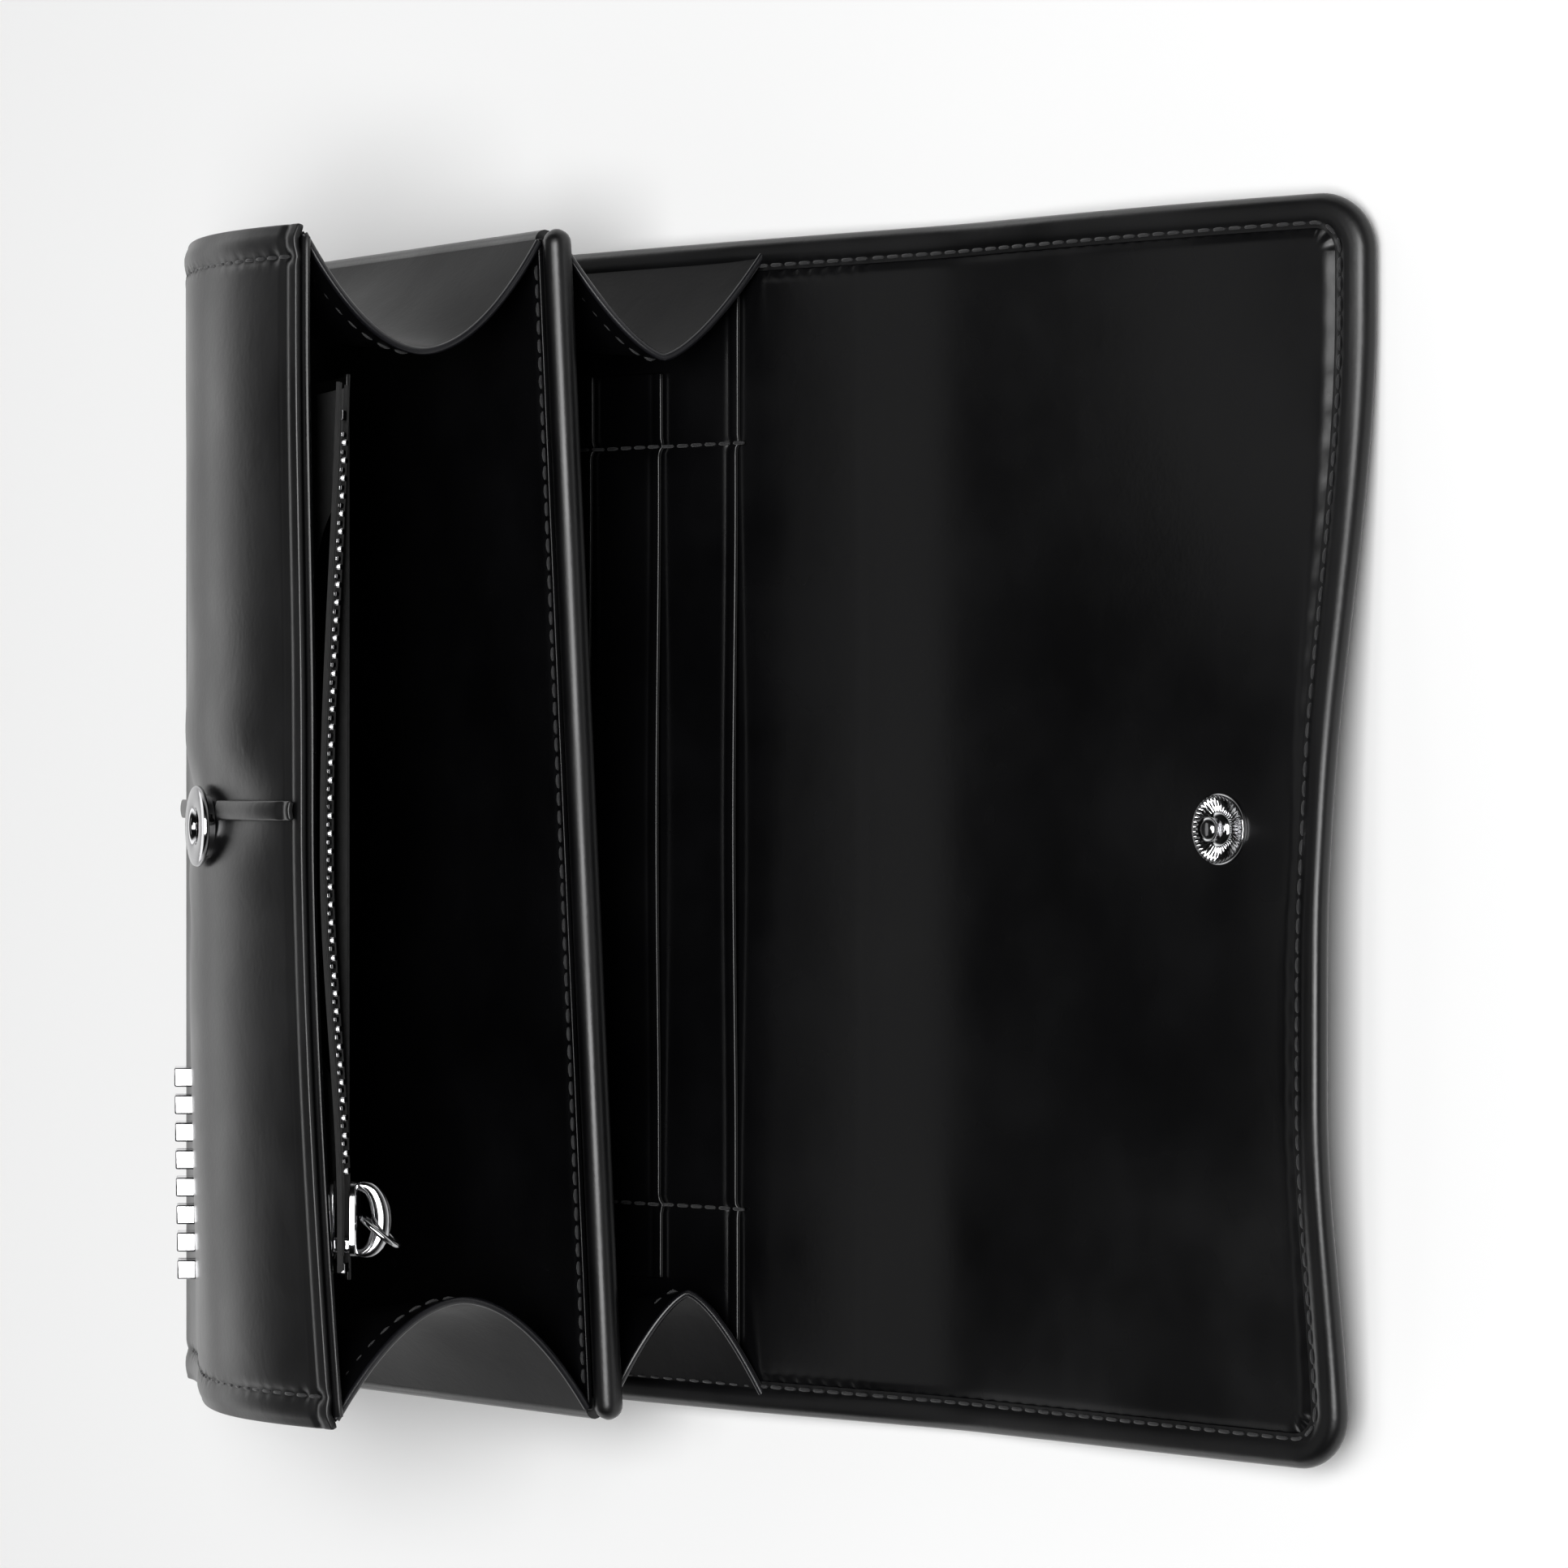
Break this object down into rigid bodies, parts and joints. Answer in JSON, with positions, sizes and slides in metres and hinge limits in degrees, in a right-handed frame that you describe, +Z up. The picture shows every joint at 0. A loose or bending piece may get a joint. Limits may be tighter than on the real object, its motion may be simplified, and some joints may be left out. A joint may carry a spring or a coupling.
{
  "type": "flap wallet",
  "caption": "Long black leather flap wallet lying open: two gusseted compartments, card slots, zipped front pocket, ring snap and rolled flap edge.",
  "frame": {"origin": "middle of the back panel's outer face, on the surface that the open wallet lies on", "axes": "+X along the wallet, +Y from the bottom fold towards the flap's free edge, +Z up from the surface, through the compartments"},
  "size_m": [0.191, 0.231, 0.0723],
  "materials": {
    "outer_leather": "smooth semi-gloss black",
    "lining_leather": "smooth black",
    "pocket_cloth": "woven, matt",
    "zip_tape": "woven tape, matt",
    "board": "pressed board",
    "metal": "polished nickel"
  },
  "bodies": {
    "back_panel": {"back_shell": "outer_leather", "back_board": "board", "back_lining": "lining_leather", "base_shell": "outer_leather", "base_board": "board", "card_slot_1": "lining_leather", "card_slot_2": "lining_leather", "card_slot_3": "lining_leather", "card_slot_4": "lining_leather", "gusset_rear_left": "lining_leather", "gusset_rear_right": "lining_leather", "gusset_front_left": "lining_leather", "gusset_front_right": "lining_leather"},
    "divider": {"divider_face_front": "lining_leather", "divider_face_rear": "lining_leather", "divider_board": "board", "divider_binding": "outer_leather"},
    "front_panel": {"front_shell": "outer_leather", "front_board": "board", "front_facing": "lining_leather", "pocket_wall": "lining_leather", "pocket_bag_inner": "pocket_cloth", "pocket_bag_outer": "pocket_cloth", "front_strap_lower": "outer_leather", "front_strap_upper": "outer_leather", "snap_socket": "metal", "snap_spring": "metal", "socket_eyelet": "metal", "ornament_bar_1": "metal", "ornament_bar_2": "metal", "ornament_bar_3": "metal", "ornament_bar_4": "metal", "ornament_bar_5": "metal", "ornament_bar_6": "metal", "ornament_bar_7": "metal", "ornament_bar_8": "metal", "zip_tape_upper": "zip_tape", "zip_tape_lower": "zip_tape", "zip_teeth_upper": "metal", "zip_teeth_lower": "metal", "zip_stop_closed": "metal", "zip_stop_open": "metal"},
    "fold_strip": {"fold_shell": "outer_leather", "fold_interlining": "pocket_cloth", "fold_lining": "lining_leather"},
    "flap": {"flap_shell": "outer_leather", "flap_board": "board", "flap_lining": "lining_leather", "flap_binding": "outer_leather", "snap_cup": "metal", "snap_stud": "metal", "snap_cap": "metal"},
    "zip_slider": {"zip_slider": "metal", "slider_crown": "metal"},
    "zip_pull": {"zip_pull": "metal"}
  },
  "joints": [
    {"name": "fold_hinge", "type": "hinge", "parent": "back_panel", "child": "fold_strip", "pos_m": [0, 0.058, 0.0038], "axis": [1, 0, 0], "range_deg": [0, 90]},
    {"name": "flap_hinge", "type": "hinge", "parent": "fold_strip", "child": "flap", "pos_m": [0, 0.0917, 0.0038], "axis": [1, 0, 0], "range_deg": [0, 81.5]},
    {"name": "front_hinge", "type": "hinge", "parent": "back_panel", "child": "front_panel", "pos_m": [0, -0.058, 0.03], "axis": [1, 0, 0], "range_deg": [-32, 0], "deforming": ["gusset_front_left", "gusset_front_right"]},
    {"name": "divider_hinge", "type": "hinge", "parent": "back_panel", "child": "divider", "pos_m": [0, -0.056, 0.014], "axis": [1, 0, 0], "range_deg": [-11.9, 0], "deforming": ["gusset_rear_left", "gusset_rear_right"]},
    {"name": "zip_slide", "type": "slide", "parent": "front_panel", "child": "zip_slider", "axis": [-1, 0, 0], "range_m": [0, 0.118], "deforming": ["zip_teeth_upper", "zip_teeth_lower"]},
    {"name": "pull_hinge", "type": "hinge", "parent": "zip_slider", "child": "zip_pull", "pos_m": [0.062, 0.02042, 0.06349], "axis": [0, -0.5948, -0.8039], "range_deg": [-122, 44]}
  ],
  "couplings": [
    {"joint": "flap_hinge", "follows": "fold_hinge", "ratio": 0.90556},
    {"joint": "front_hinge", "follows": "fold_hinge", "ratio": -0.35556},
    {"joint": "divider_hinge", "follows": "fold_hinge", "ratio": -0.13222}
  ]
}
